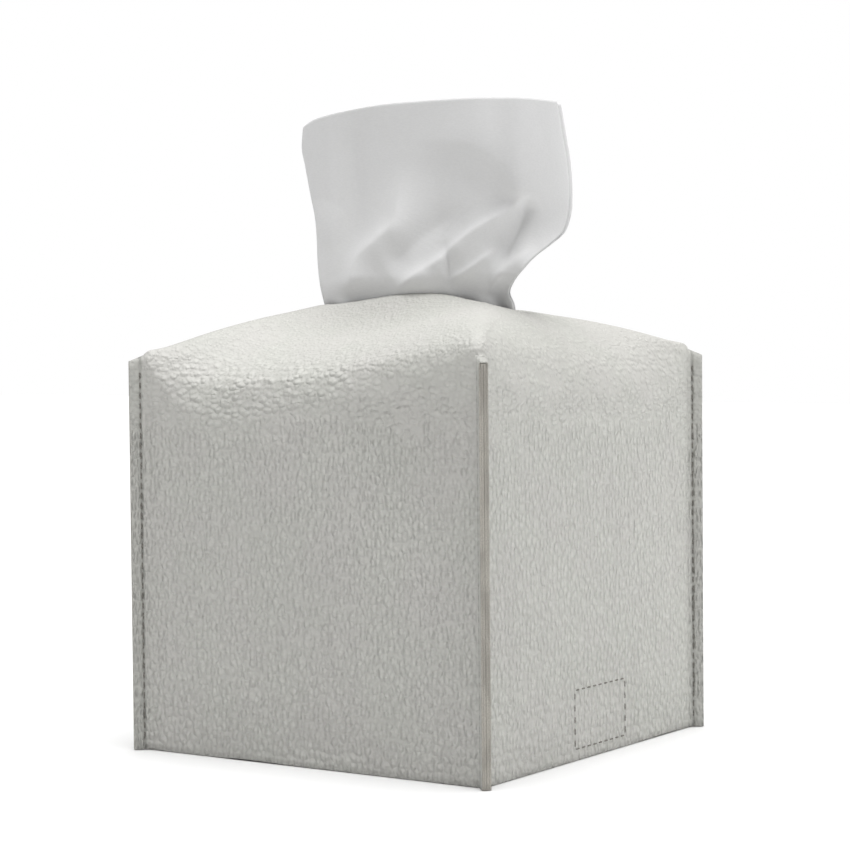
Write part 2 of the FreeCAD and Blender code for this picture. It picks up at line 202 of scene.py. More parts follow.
def in_mm(context, *names):
    """The values of the scene's property groups of those names, with lengths in millimetres."""
    for name in names:
        group = getattr(context.scene, f"tissuecover_{name}")
        kinds = group.bl_rna.properties
        values = {key: getattr(group, key) for key in group.__annotations__}
        yield SimpleNamespace(**{k: v / MM if kinds[k].unit == "LENGTH" else v for k, v in values.items()})


def node_box(node):
    """A CAD node's lowest and highest corners as arrays, in millimetres."""
    return tuple(np.array(corner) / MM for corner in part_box(node))


# Curves, noise and grids


def smooth(value):
    """3t² - 2t³ between 0 and 1, level outside."""
    value = np.clip(value, 0, 1)
    return value * value * (3 - 2 * value)


def bump(distance):
    """exp(-d²): a bell of height 1."""
    return np.exp(-distance * distance)


def curve(knots, values, at):
    """Cubic through the values at the knots, its slope at each knot that of its neighbours' chord."""
    knots, values = np.asarray(knots, float), np.asarray(values, float)
    slopes = np.gradient(values, knots, axis=0)
    at = np.clip(at, knots[0], knots[-1])
    first = np.clip(np.searchsorted(knots, at, side="right") - 1, 0, len(knots) - 2)
    span = knots[first + 1] - knots[first]
    share = (at - knots[first]) / span
    if values.ndim > 1:
        span, share = span[..., None], share[..., None]
    square, cube = share**2, share**3
    return (
        values[first] * (2 * cube - 3 * square + 1)
        + values[first + 1] * (3 * square - 2 * cube)
        + slopes[first] * span * (cube - 2 * square + share)
        + slopes[first + 1] * span * (cube - square)
    )


def noise(across, along, seed):
    """Numbers from -1 to 1 on the whole-number lattice, which repeats after 61 and 59 steps, blended between
    by 3t² - 2t³ both ways."""
    lattice = np.random.RandomState(seed).uniform(-1, 1, (61, 59))
    cell_u, cell_v = np.floor(across).astype(int), np.floor(along).astype(int)
    part_u, part_v = smooth(across - cell_u), smooth(along - cell_v)

    def corner(step_u, step_v):
        return lattice[(cell_u + step_u) % 61, (cell_v + step_v) % 59]

    low = corner(0, 0) * (1 - part_u) + corner(1, 0) * part_u
    high = corner(0, 1) * (1 - part_u) + corner(1, 1) * part_u
    return low * (1 - part_v) + high * part_v


def cells(points, closed=False):
    """Corner numbers of a grid's faces, closed around its columns if asked, each row above the last."""
    rows, columns = points.shape[:2]
    row = np.arange(rows - 1)[:, None] * columns
    column = np.arange(columns if closed else columns - 1)[None, :]
    after = (column + 1) % columns
    faces = np.stack([row + column, row + after, row + columns + after, row + columns + column], -1)
    return faces.reshape(-1, 4)


def grid_normals(points):
    """Unit cross product of a closed grid's column and row steps, pointing out where columns run
    anticlockwise seen from outside and rows run up."""
    across = np.roll(points, -1, 1) - np.roll(points, 1, 1)
    normal = np.cross(across, np.gradient(points, axis=0))
    return normal / np.maximum(np.linalg.norm(normal, axis=-1, keepdims=True), 1e-9)


def mesh_object(name, patches, materials, merge=0.0):
    """One mesh from (points, faces) patches, in millimetres, with points merged that lie within that
    distance. Where that makes two corners of a face one, as at a pole, the face becomes a triangle."""
    points, faces, start = [], [], 0
    for patch_points, patch_faces in patches:
        flat = np.asarray(patch_points, float).reshape(-1, 3)
        points.append(flat)
        faces.append(patch_faces + start)
        start += len(flat)
    points, faces = np.concatenate(points) * MM, np.concatenate(faces)
    if merge:
        lattice = np.round(points / (merge * MM)).astype(np.int64)
        _, first, same = np.unique(lattice, axis=0, return_index=True, return_inverse=True)
        points, faces = points[first], same.reshape(-1)[faces]
    twice = faces == np.roll(faces, 1, 1)
    pointed = twice.sum(1) == 1
    triangles = faces[pointed][~twice[pointed]].reshape(-1, 3)
    mesh = bpy.data.meshes.new(name)
    mesh.from_pydata(points, [], faces[~twice.any(1)].tolist() + triangles.tolist())
    mesh.validate(clean_customdata=False)
    mesh.polygons.foreach_set("use_smooth", np.ones(len(mesh.polygons), bool))
    for material in materials:
        mesh.materials.append(material)
    mesh.update()
    piece = bpy.data.objects.new(name, mesh)
    bpy.context.scene.collection.objects.link(piece)
    return piece


def thicken(piece, thickness, offset, rim=0):
    """Gives a sheet its thickness, in millimetres; rim is the material step of its raw edges."""
    wall = piece.modifiers.new("thickness", "SOLIDIFY")
    wall.thickness = thickness * MM
    wall.offset = offset
    wall.material_offset_rim = rim


# Shader nodes as expressions


def shade(rgb, factor):
    """A colour made lighter or darker."""
    return tuple(min(1.0, c * factor) for c in rgb)


class Value:
    """An output socket; + - * on it add Math nodes."""

    def __init__(self, maker, socket):
        self.maker, self.socket = maker, socket

    def __add__(self, other):
        return self.maker.math("ADD", self, other)

    def __radd__(self, other):
        return self.maker.math("ADD", other, self)

    def __sub__(self, other):
        return self.maker.math("SUBTRACT", self, other)

    def __rsub__(self, other):
        return self.maker.math("SUBTRACT", other, self)

    def __mul__(self, other):
        return self.maker.math("MULTIPLY", self, other)

    def __rmul__(self, other):
        return self.maker.math("MULTIPLY", other, self)


class Maker:
    """A node tree being made, with one method for every kind of node and short names for the common ones."""

    def __init__(self, tree):
        self.tree = tree

    def node(self, kind, settings=(), sockets=(), output=0):
        """A node of that type, its settings, then the values or links of its sockets."""
        node = self.tree.nodes.new(kind)
        for name, value in dict(settings).items():
            setattr(node, name, value)
        for name, value in dict(sockets).items():
            if isinstance(value, Value):
                self.tree.links.new(value.socket, node.inputs[name])
            else:
                node.inputs[name].default_value = value
        return Value(self, node.outputs[output])

    def math(self, operation, *numbers):
        """A Math node on numbers."""
        return self.node("ShaderNodeMath", {"operation": operation}, enumerate(numbers))

    def vector(self, operation, *vectors):
        """A Vector Math node on vectors."""
        return self.node("ShaderNodeVectorMath", {"operation": operation}, enumerate(vectors))

    def place(self):
        """Object coordinates, in metres."""
        return self.node("ShaderNodeTexCoord", output="Object")

    def axis(self, vector, name):
        """One of a vector's parts."""
        return self.node("ShaderNodeSeparateXYZ", {}, {0: vector}, name)

    def stretched(self, vector, *scale):
        """A vector scaled differently along X, Y and Z."""
        return self.vector("MULTIPLY", vector, scale)

    def cloud(self, vector, scale, detail=3.0, output=0):
        """Smooth noise between about 0.2 and 0.8, or from output 1 a vector of three such numbers."""
        sockets = {"Vector": vector, "Scale": scale, "Detail": detail}
        return self.node("ShaderNodeTexNoise", {}, sockets, output)

    def jolted(self, vector, scale, reach):
        """A vector moved about by noise, so that a regular pattern on it turns uneven."""
        shove = self.vector("SUBTRACT", self.cloud(vector, scale, 2.0, 1), (0.5,) * 3)
        return self.vector("ADD", vector, self.stretched(shove, reach, reach, reach))

    def bands(self, vector, direction, scale, distortion, detail):
        """Sine bands from 0 to 1 across a direction, bent by noise."""
        settings = {"wave_type": "BANDS", "bands_direction": direction}
        sockets = {"Vector": vector, "Scale": scale, "Distortion": distortion, "Detail": detail}
        return self.node("ShaderNodeTexWave", settings, sockets, 1)

    def step(self, value, low, high):
        """0 below low, 1 above high, smooth between."""
        settings = {"interpolation_type": "SMOOTHSTEP"}
        return self.node("ShaderNodeMapRange", settings, {0: value, 1: low, 2: high})

    def mix(self, share, first, second):
        """From one colour to another."""
        first, second = (c if isinstance(c, Value) else (*c[:3], 1.0) for c in (first, second))
        return self.node("ShaderNodeMix", {"data_type": "RGBA"}, {0: share, 6: first, 7: second}, 2)

    def shades(self, share, rgb, dark, light):
        """From a darker shade of a colour to a lighter one."""
        return self.mix(share, shade(rgb, dark), shade(rgb, light))


class Surface(Maker):
    """A material being made: its shader's constants, then what varies over it."""

    def __init__(self, name, **constants):
        self.material = bpy.data.materials.new(name)
        self.material.use_nodes = True
        super().__init__(self.material.node_tree)
        self.shader = self.tree.nodes["Principled BSDF"]
        for socket, value in constants.items():
            self.shader.inputs[socket.replace("_", " ")].default_value = value

    def finish(self, tone, roughness, height, relief, alpha=None):
        """Links what varies over the surface to the shader; relief is the bump's depth in millimetres."""
        sockets = {"Strength": 1.0, "Distance": relief * MM, "Height": height}
        normal = self.node("ShaderNodeBump", {}, sockets)
        links = {"Base Color": tone, "Roughness": roughness, "Alpha": alpha, "Normal": normal}
        for name, value in links.items():
            if value is not None:
                self.tree.links.new(value.socket, self.shader.inputs[name])
        return self.material


# Materials. Heights and distances inside them are in metres, as Object coordinates are


def leather_material(name, rgb, pitch=2.0, relief=1.15, walls=True):
    """Pebbled grain: 1 - the distance to the nearest of scattered points, so rounded cells with soft valleys,
    duller than the crowns and a little darker, partly the grain's own tone and partly painted shade of its
    relief, under long soft creases. The cells are drawn out upwards on the panels and sideways round the
    bend, and fainter on the dome. Where |x| + |y| passes the panels' corners, on the seams' fins, the colour
    is darker, painted shade, and darker still in the stitches' groove, painted shade there too. Without
    walls, as on the belt, the cells below the bend are round."""
    maker = Surface(name, Specular_IOR_Level=0.4)
    place = maker.place()
    uneven = maker.jolted(place, 260.0, 0.0010)
    height_up = maker.axis(place, "Z")
    # The panels' cells turn to the bend's at about 104 mm, with a ragged border, are shallower from 115 to
    # 130 mm, and turn to the dome's from 118 to 134 mm
    uneven_height = height_up + (maker.cloud(place, 70.0) - 0.5) * 0.035
    above = maker.step(uneven_height, 0.100, 0.108)
    bend = maker.step(uneven_height, 0.110, 0.120) * (1 - maker.step(height_up, 0.124, 0.136))
    dome = maker.step(height_up, 0.118, 0.134)

    def pebbles(vector, scale, dimensions="3D"):
        settings = {"feature": "F1", "voronoi_dimensions": dimensions}
        sockets = {"Vector": vector, "Scale": scale / (pitch * MM), "Randomness": 0.8}
        return 1 - maker.step(maker.node("ShaderNodeTexVoronoi", settings, sockets), 0.06, 0.74)

    # x + y runs across every panel, so the panels' cells are a flat pattern of x + y and z
    across = maker.axis(uneven, "X") + maker.axis(uneven, "Y")
    wall = maker.node("ShaderNodeCombineXYZ", {}, {"X": across, "Y": maker.axis(uneven, "Z") * 0.7})
    upright = pebbles(wall, 1.0, "2D") if walls else pebbles(uneven, 1.0)
    level = pebbles(maker.stretched(uneven, 0.7, 0.7, 1.05), 1.0)
    small = pebbles(maker.stretched(uneven, 1.0, 1.0, 0.8), 1.7)
    cell = upright * (1 - above) + level * above
    cell = cell * (1 - dome * 0.6) + small * dome * 0.6
    fine = maker.cloud(place, 2200.0)
    creases = maker.cloud(maker.stretched(uneven, 1.0, 1.0, 0.3), 440.0, 2.0)
    height = cell * 0.7 + small * 0.2 + fine * 0.1 + creases * 0.4
    height = height * (1 - dome * 0.72) * (1 - bend * 0.35)

    # Darker in the cells' valleys and lighter on their crowns: partly the grain's own tone, partly painted
    # shade of its relief
    tone = maker.shades(maker.step(cell, 0.05, 0.8), rgb, 0.93, 1.03)
    rosy = tuple(part * share for part, share in zip(rgb, (0.985, 0.962, 0.985)))
    tone = maker.mix(maker.step(maker.cloud(place, 45.0, 4.0), 0.35, 0.65) * 0.55, tone, rosy)
    # The panels' corners are at 130 mm
    spread = maker.math("ABSOLUTE", maker.axis(place, "X")) + maker.math("ABSOLUTE", maker.axis(place, "Y"))
    # Mask of the painted shade on the seams' fins, beyond the panels' corners
    fin_painted_shade = maker.step(spread, 0.1284, 0.1298)
    # Mask of the painted shade in the stitches' groove
    groove = maker.step(spread, 0.1291, 0.1298) * (1 - maker.step(spread, 0.1303, 0.1310))
    # Painted shade: the seams' fins made darker than the panels
    tone = maker.mix(fin_painted_shade * 0.6, tone, shade(rgb, 0.82))
    # Painted shade: the stitches' groove darkened to a dark line along each seam
    tone = maker.mix(groove * 0.35, tone, shade(rgb, 0.5))
    return maker.finish(tone, 0.60 - cell * 0.12 + fine * 0.08, height, relief)


def backing_material(rgb):
    """Brushed fibres, matte, with loose darker specks."""
    maker = Surface("backing_fibres", Specular_IOR_Level=0.2)
    place = maker.place()
    fibres = maker.cloud(maker.stretched(place, 1.0, 1.0, 0.35), 2600.0, 4.0)
    specks = maker.step(maker.cloud(place, 160.0), 0.45, 0.7)
    mixed = maker.shades(maker.step(fibres, 0.3, 0.7), rgb, 0.8, 1.15)
    mixed = maker.mix(specks * 0.35, mixed, shade(rgb, 0.72))
    return maker.finish(mixed, 0.82 + fibres * 0.12, fibres, 0.12)


def raw_edge_material(rgb, skin):
    """Cut edge of the leather: packed fibres, painted like the skin at the seams' upper ends."""
    maker = Surface("raw_edge", Specular_IOR_Level=0.25)
    place = maker.place()
    fibres = maker.cloud(place, 3400.0, 4.0)
    patches = maker.step(maker.cloud(maker.stretched(place, 1.0, 1.0, 0.3), 210.0), 0.42, 0.62)
    mixed = maker.shades(maker.step(fibres, 0.3, 0.7), rgb, 0.85, 1.2)
    mixed = maker.mix(patches * 0.6, mixed, shade(rgb, 0.7))
    mixed = maker.mix(maker.step(maker.axis(place, "Z"), 0.1242, 0.1252), mixed, skin)
    return maker.finish(mixed, 0.75 + fibres * 0.15, fibres, 0.10)


def thread_material(rgb):
    """Twisted thread: slanted strands, lighter on their crowns and darker in their hollows, painted highlight
    and shade.
    """
    maker = Surface("sewing_thread", Specular_IOR_Level=0.3)
    strands = maker.bands(maker.place(), "DIAGONAL", 620.0, 1.5, 1.0)
    # Painted highlight and shade: the strands' crowns lighter, their hollows darker
    mixed = maker.shades(maker.step(strands, 0.1, 0.8), rgb, 0.7, 1.2)
    return maker.finish(mixed, 0.62 + strands * 0.2, strands, 0.08)


def board_material(rgb):
    """Uncoated paperboard: short fibres and faint mottling."""
    maker = Surface("paperboard", Specular_IOR_Level=0.3)
    place = maker.place()
    fibres = maker.cloud(maker.stretched(place, 1.0, 1.0, 0.4), 1500.0, 5.0)
    mottle = maker.step(maker.cloud(place, 90.0), 0.4, 0.7)
    mixed = maker.shades(maker.step(fibres, 0.35, 0.7), rgb, 0.93, 1.03)
    mixed = maker.mix(mottle * 0.3, mixed, shade(rgb, 0.9))
    return maker.finish(mixed, 0.78 + fibres * 0.15, fibres, 0.04)


def paper_material(name, rgb, layers=0.0):
    """Creped tissue: fine uneven ridges across the sheet, soft and matte. layers is the scale of the bands
    that a stack's folded edges make, 0 for none; in the hollows between the folds the bands are darker,
    painted shade."""
    maker = Surface(name, Specular_IOR_Level=0.12, Sheen_Weight=0.12, Sheen_Roughness=0.6)
    place = maker.place()
    crepe = maker.cloud(maker.stretched(maker.jolted(place, 300.0, 0.0008), 0.35, 1.0, 1.0), 2300.0)
    dimples = maker.cloud(place, 420.0)
    mixed = maker.shades(maker.step(crepe, 0.3, 0.7), rgb, 0.975, 1.01)
    mixed = maker.mix(maker.step(dimples, 0.4, 0.7) * 0.25, mixed, shade(rgb, 0.965))
    height = crepe * 0.6 + dimples * 0.5
    if layers:
        edges = maker.bands(place, "Z", layers, 2.2, 2.0)
        # Painted shade: the hollows between the stack's folded edges darkened
        mixed = maker.mix(maker.step(edges, 0.0, 0.45), shade(rgb, 0.78), mixed)
        height = height + edges
    return maker.finish(mixed, 0.86 + dimples * 0.1, height, 0.05)


def metal_material(rgb):
    """Nickel plating, a little cloudy, with rub marks."""
    maker = Surface("nickel", Metallic=1.0)
    place = maker.place()
    rub = maker.cloud(maker.stretched(place, 1.0, 0.12, 1.0), 1500.0)
    mixed = maker.shades(maker.step(maker.cloud(place, 260.0), 0.35, 0.7), rgb, 0.86, 1.08)
    return maker.finish(mixed, 0.24 + rub * 0.2, rub, 0.01)


def film_material(rgb):
    """Clear film with a slight haze and stretch ripples."""
    maker = Surface("clear_film")
    ripples = maker.cloud(maker.stretched(maker.place(), 0.3, 1.0, 1.0), 180.0)
    mixed = maker.mix(ripples, shade(rgb, 0.95), rgb)
    return maker.finish(mixed, 0.14 + ripples * 0.12, ripples, 0.2, 0.28 + ripples * 0.16)


def floor_material(rgb):
    """Matte paper backdrop with the faintest tooth."""
    maker = Surface("backdrop_paper", Specular_IOR_Level=0.0)
    tooth = maker.cloud(maker.place(), 300.0)
    return maker.finish(maker.mix(tooth, shade(rgb, 0.995), rgb), 0.9 + tooth * 0.05, tooth, 0.01)


MATERIALS = {}


def made(key, maker, *words):
    """A material that several pieces share, made once."""
    if key not in MATERIALS:
        MATERIALS[key] = maker(*words)
    return MATERIALS[key]


# The cover

# How the dome climbs from the panels (0) to the slot's lip (1), against the square root of the way in:
# over the long sides, over the slot's ends, and along the corners' ridges
WAY_IN = (0, 0.1, 0.2, 0.3, 0.42, 0.52, 0.67, 0.8, 0.9, 1)
LONG_CLIMB = (0, 0.19, 0.35, 0.43, 0.498, 0.552, 0.640, 0.715, 0.82, 1)
END_CLIMB = (0, 0.14, 0.30, 0.45, 0.59, 0.68, 0.80, 0.88, 0.94, 1)
CORNER_CLIMB = (0, 0.10, 0.22, 0.34, 0.48, 0.57, 0.71, 0.83, 0.91, 1)
# Corners in turn from the front right one: a lower number is a fuller corner
CORNER_LEANNESS = (0.85, 1.1, 1.2, 1.36)
# For each side, the powers by which the bend's start climbs from its middle to its first and last corners
RIM_POWERS = ((2.0, 4.0), (4.0, 4.0), (4.0, 4.5), (4.5, 1.1))
# The lip's height against the crest, in mm, at turns round the slot from its front right
LIP = (
    (0.0, -2.4), (0.5, -5.1), (1.0, -4.9), (1.25, -1.8), (1.5, -0.3), (2.0, -2.3),
    (2.5, -4.3), (3.0, -2.0), (3.5, 1.5), (3.6, 1.9), (3.8, 0.8), (4.0, -2.4),
)
# How far the lip turns down, and how near the slot, in mm
LIP_DROP, LIP_ROUNDING = 0.7, 1.6
# Columns to each side over which the lip's height and the ridges near the slot are blurred
LIP_BLUR, RIDGE_BLUR = 8, 7
# How far the sheet stands out, in mm: the panels' fullness, broad waves, upright and level wrinkles, the
# front panel's dent, the puckers at the seams and what they gain round the bend, and the rim's waves
FULLNESS, WAVES, UPRIGHT, LEVEL, DENT = 0.9, 0.55, 0.13, 0.30, -3.0
PUCKERS, BEND_PUCKERS, RIM_WAVES = 0.10, 0.42, 0.5
# A fin's columns as shares of the way from crease to raw edge, and the stitches' groove across them:
# its place and half breadth as shares, and its depth in mm
FIN_COLUMNS = np.array([0, 0.06, 0.12, 0.18, 0.23, 0.28, 0.33, 0.38, 0.44, 0.52, 0.66, 0.8, 0.92, 1])
GROOVE_PLACE, GROOVE_BREADTH, GROOVE_DEPTH = 0.3, 0.1, 0.5


def round_blur(values, width):
    """Values round the cover, last axis closed, each the mean of its neighbours under a raised cosine."""
    weight = np.hanning(2 * width + 3)[1:-1]
    return sum(np.roll(values, k - width, -1) * w for k, w in enumerate(weight)) / weight.sum()


def dome_height(around, side, share, out, bend, crease, crest):
    """Height at a share of a side, -1 to 1, and a way out from the slot, 0 to 1: the rim climbs from the bend
    to the crease by |share|^k, and from there r = sqrt(1 - out) picks the climb to the lip, which goes from
    the side's own to the corner's by |share|³. Near the slot the ridges between sides are rounded off."""
    first = share < 0
    powers, leanness = np.array(RIM_POWERS), np.array(CORNER_LEANNESS)
    rim = bend + (crease - bend) * np.abs(share) ** np.where(first, powers[side, 0], powers[side, 1])
    lean = np.where(first, leanness[side], leanness[(side + 1) % SIDES])
    way = np.sqrt(np.clip(1 - out, 0, 1))
    long_side = (side == BACK) | (side == FRONT)
    own = np.where(long_side, curve(WAY_IN, LONG_CLIMB, way), curve(WAY_IN, END_CLIMB, way))
    corner = np.clip(curve(WAY_IN, CORNER_CLIMB, way), 0, 1) ** lean
    climb = own + (corner - own) * np.abs(share) ** 3
    turns, heights = np.array(LIP).T
    lip = round_blur(crest + np.interp(around, turns, heights), LIP_BLUR)
    height = rim + (lip - rim) * climb
    return height + (round_blur(height, RIDGE_BLUR) - height) * smooth((way - 0.12) / 0.35)


def slot_edge(around, half_length, radius):
    """The slot's stadium outline: around is 0 to 1 over its right end, to 2 over its back, to 3 over its left
    end and to 4 over its front."""
    flat = half_length - radius
    part = around - np.floor(around)
    side = np.floor(around).astype(int) % SIDES
    angle = np.pi * (part - 0.5) + np.where(side == LEFT, np.pi, 0)
    end_x = np.where(side == RIGHT, flat, -flat) + radius * np.cos(angle)
    run = flat - 2 * flat * part
    straight = [side == BACK, side == FRONT]
    y = np.select(straight, [radius, -radius], radius * np.sin(angle))
    return np.select(straight, [run, -run], end_x), y


def ripple(side, along, run, half):
    """How far the sheet stands out of its plain form, in mm: fullness as a cosine across a panel, a dent as
    two bells, and broad waves, upright wrinkles on the panels, level ones round the bend and puckers beside
    the seams, each a noise over its own lengths in mm, with its own seed on each side. along is across a
    panel, run is up from its rim."""
    side, along, run = np.broadcast_arrays(side, along, run)

    def each_side(pattern):
        return np.select([side == k for k in range(SIDES)], [pattern(k) for k in range(SIDES)])

    broad = each_side(lambda k: noise(along / 34 + 3, run / 41 + 5, 7 + k))
    upright = each_side(
        lambda k: noise(along / 4.6 + 11 + noise(along / 9, run / 15, 60 + k), run / 27 + 3, 20 + k)
    )
    level = each_side(
        lambda k: noise(along / 15 + 9, run / 3.3 + 2 * noise(along / 21, run / 30, 70 + k), 30 + k)
    )
    pucker = each_side(
        lambda k: noise((run + np.abs(along) * 0.9) / 5.4, np.sign(along) * 3.0 + 20, 40 + k)
    )
    edge = half - np.abs(along)
    free = smooth(edge / 16.0)
    middle = np.cos(np.clip(along / half, -1, 1) * np.pi / 2) * smooth(run / 25) * smooth((112 - run) / 30)
    dented = (side == FRONT) * bump((along - 38.0) / 19.0) * bump((run - 92.0) / 22.0) * smooth(edge / 9.0)
    near_seam = bump((edge - 5.0) / 5.5) * smooth(edge / 4.0)
    return (
        FULLNESS * middle
        + DENT * dented
        + broad * WAVES * free
        + upright * UPRIGHT * free * smooth((118.0 - run) / 26.0)
        + level * LEVEL * free * bump((run - 113.0) / 15.0)
        + pucker * (PUCKERS + BEND_PUCKERS * bump((run - 118.0) / 16.0)) * near_seam
    )


def cover_grid(cover, inset, columns=72, panel_rows=54, dome_rows=38):
    """The sheet at a depth under its outer face. Columns run anticlockwise, four sides of them, and rows run
    up the panels and in over the dome to the slot. A panel is flat at the half width, a dome row goes from
    the panels' border to the slot by cos(t π/2), and every point then moves along its normal by ripple().
    Returns the closed grid and the number of rows below the dome."""
    half, crease, crest = (v - inset for v in (cover.panel_half, cover.crease_height, cover.crest_height))
    bend = cover.bend_height - inset * 0.3
    chamfer = (cover.leather_ply + cover.backing_ply - inset) * math.sqrt(2)
    across = np.linspace(-1, 1, columns + 1) * (half - chamfer)
    around = (np.arange(SIDES)[:, None] + (across / half + 1)[None, :] / 2).reshape(-1)
    side = np.repeat(np.arange(SIDES), columns + 1)
    along = np.tile(across, SIDES)
    quarter = side * np.pi / 2
    rim_x = half * np.cos(quarter) - along * np.sin(quarter)
    rim_y = half * np.sin(quarter) + along * np.cos(quarter)
    slot_x, slot_y = slot_edge(around, cover.slot_length / 2, cover.slot_width / 2)
    outward = np.cos(np.linspace(0, 1, dome_rows + 1) * np.pi / 2)[:, None]
    panel = np.ones((panel_rows, 1))
    x = np.concatenate([panel * rim_x, slot_x + (rim_x - slot_x) * outward])
    y = np.concatenate([panel * rim_y, slot_y + (rim_y - slot_y) * outward])
    from_lip = np.hypot(x - slot_x, y - slot_y)
    dome_z = dome_height(around, side, along / (half - chamfer), outward, bend, crease, crest)
    dome_z -= LIP_DROP * bump(from_lip[panel_rows:] / LIP_ROUNDING)
    up = np.linspace(0, 1, panel_rows + 1)[:-1, None]
    wave = noise(along / 23.0 + 5 * side, side * 1.0, 5) * RIM_WAVES * smooth((half - np.abs(along)) / 14)
    wave = wave * smooth((half - chamfer - np.abs(along)) / 12) * cover.softness
    panel_z = np.maximum(wave * (1 - up) + dome_z[0] * up, 0.0)
    grid = np.stack([x, y, np.concatenate([panel_z, dome_z])], -1)
    steps = np.linalg.norm(np.diff(grid, axis=0), axis=-1)
    run = grid[0, :, 2] + np.concatenate([np.zeros((1, grid.shape[1])), np.cumsum(steps, axis=0)])
    # The sheet lies still at the rim, at the lip and where the belt is sewn to it
    sewn = smooth((34.0 - run) / 9.0) * smooth((30.0 - np.abs(along)) / 9.0)
    sewn = sewn * ((side == RIGHT) | (side == LEFT))
    calm = (1 - 0.9 * sewn) * smooth(run / 8.0) * smooth(from_lip / 8.0)
    out = ripple(side, along, run, half - chamfer) * calm * cover.softness
    return grid + grid_normals(grid) * out[..., None], panel_rows


def fin_ply(cover, grid, panel_rows, side, end, inset):
    """A fin's ply beyond one end of a panel: columns along the diagonal from the crease to the raw edge,
    their upper ends sloping down to the fin's tip, with the stitches' groove as a bell across them."""
    per_side = grid.shape[1] // SIDES
    crease = grid[: panel_rows + 1, side * per_side + (per_side - 1 if end > 0 else 0)]
    angle = side * np.pi / 2 + end * np.pi / 4
    out = np.array([math.cos(angle), math.sin(angle), 0.0])
    face = np.array([out[1], -out[0], 0.0]) * end
    reach = cover.panel_half * math.sqrt(2) + cover.fin_reach - crease[0] @ out
    top = crease[-1, 2] + (cover.fin_tip_height - inset - crease[-1, 2]) * FIN_COLUMNS
    groove = GROOVE_DEPTH * bump((FIN_COLUMNS - GROOVE_PLACE) / GROOVE_BREADTH)
    points = crease[:, None, :] + out * (reach * FIN_COLUMNS[None, :, None]) - face * groove[None, :, None]
    points[..., 2] = (crease[:, 2] / crease[-1, 2])[:, None] * top[None, :]
    return points if end > 0 else points[:, ::-1]


def fin_webs(cover):
    """Folds of skin that close the seams' upper ends: from the tip to the dome's corner, each a ribbon from
    the top of one side's fin ply to the top of the next side's."""
    grid, panel_rows = cover_grid(cover, 0.0)
    webs = []
    for side in range(SIDES):
        near = fin_ply(cover, grid, panel_rows, side, 1, 0.0)[-1, ::-1]
        far = fin_ply(cover, grid, panel_rows, (side + 1) % SIDES, -1, 0.0)[-1]
        points = np.stack([near, far], 1)
        webs.append((points, cells(points)))
    return webs


def cover_sheet(cover, inset):
    """Four panels with their fin plies, and the dome, as patches that share their borders."""
    grid, panel_rows = cover_grid(cover, inset)
    patches = []
    for side, panel in enumerate(np.split(grid[: panel_rows + 1], SIDES, 1)):
        left = fin_ply(cover, grid, panel_rows, side, -1, inset)
        right = fin_ply(cover, grid, panel_rows, side, 1, inset)
        points = np.concatenate([left[:, :-1], panel, right[:, 1:]], 1)
        patches.append((points, cells(points)))
    dome = grid[panel_rows:]
    return patches + [(dome, cells(dome, closed=True))]


class TISSUECOVER_OT_cover(bpy.types.Operator):
    """Make the grained skin and the backing of the cover's sheet, with fins and slot"""

    bl_idname = "tissuecover.cover"
    bl_label = "Leather Cover"

    def execute(self, context):
        cover, finish = in_mm(context, "cover", "finish")
        grain = made("leather", leather_material, "pebbled_leather", finish.leather)
        raw = made("raw", raw_edge_material, finish.backing, finish.leather)
        fibres = made("backing", backing_material, finish.backing)
        skin = mesh_object("cover_skin", cover_sheet(cover, 0.0) + fin_webs(cover), [grain, raw], MERGE)
        thicken(skin, cover.leather_ply, -1.0, 1)
        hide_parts("cover_leather")
        # Room in mm between skin and lining, and twice as much inside the lining
        gap = 0.02
        patches = cover_sheet(cover, cover.leather_ply + gap)
        lining = mesh_object("cover_lining", patches, [fibres, raw], MERGE)
        thicken(lining, cover.backing_ply - 3 * gap, -1.0, 1)
        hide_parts("cover_backing")
        for piece in (skin, lining):
            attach(piece, "cover")
        return {"FINISHED"}


# Stitches

CORNER_NAMES = ("back_right", "back_left", "front_left", "front_right")
# How deep a stitch's foot goes into the leather, and the seams' groove where they lie, in mm
STITCH_SINK, SEAM_SINK = 0.15, 0.42


def stitches(middles, along, out, thread):
    """Stitches as capsules, half sunk: seven rings of six points on an ellipse, their girth sqrt(1 - t⁴) at
    t from -1 to 1 along each. along and out are unit vectors, one for all or one for each."""
    middles, along, out = np.broadcast_arrays(middles, along, out)
    along_one = np.linspace(-1, 1, 7)[:, None]
    ring = np.linspace(0, 2 * np.pi, 7)[None, :-1]
    girth = np.sqrt(1 - along_one**4)
    lift = (thread.rise - STITCH_SINK) / 2 + np.sin(ring) * girth * (thread.rise + STITCH_SINK) / 2
    shape = (along_one * thread.stitch / 2, np.cos(ring) * girth * thread.width / 2, lift)
    points = middles[:, None, None]
    for axis, part in zip((along, np.cross(out, along), out), shape):
        points = points + axis[:, None, None] * part[..., None]
    one = cells(points[0], closed=True)
    return points, (one + np.arange(len(points))[:, None, None] * lift.size).reshape(-1, 4)


def stitch_row(start, end, out, thread):
    """Evenly spaced stitches on a line, as many as whole pitches fit in it."""
    start, end = np.array(start, float), np.array(end, float)
    span = end - start
    size = np.linalg.norm(span)
    count = max(1, int(size / thread.pitch))
    middles = start + span * ((np.arange(count) + 0.5) / count)[:, None]
    return stitches(middles, span / size, out, thread)


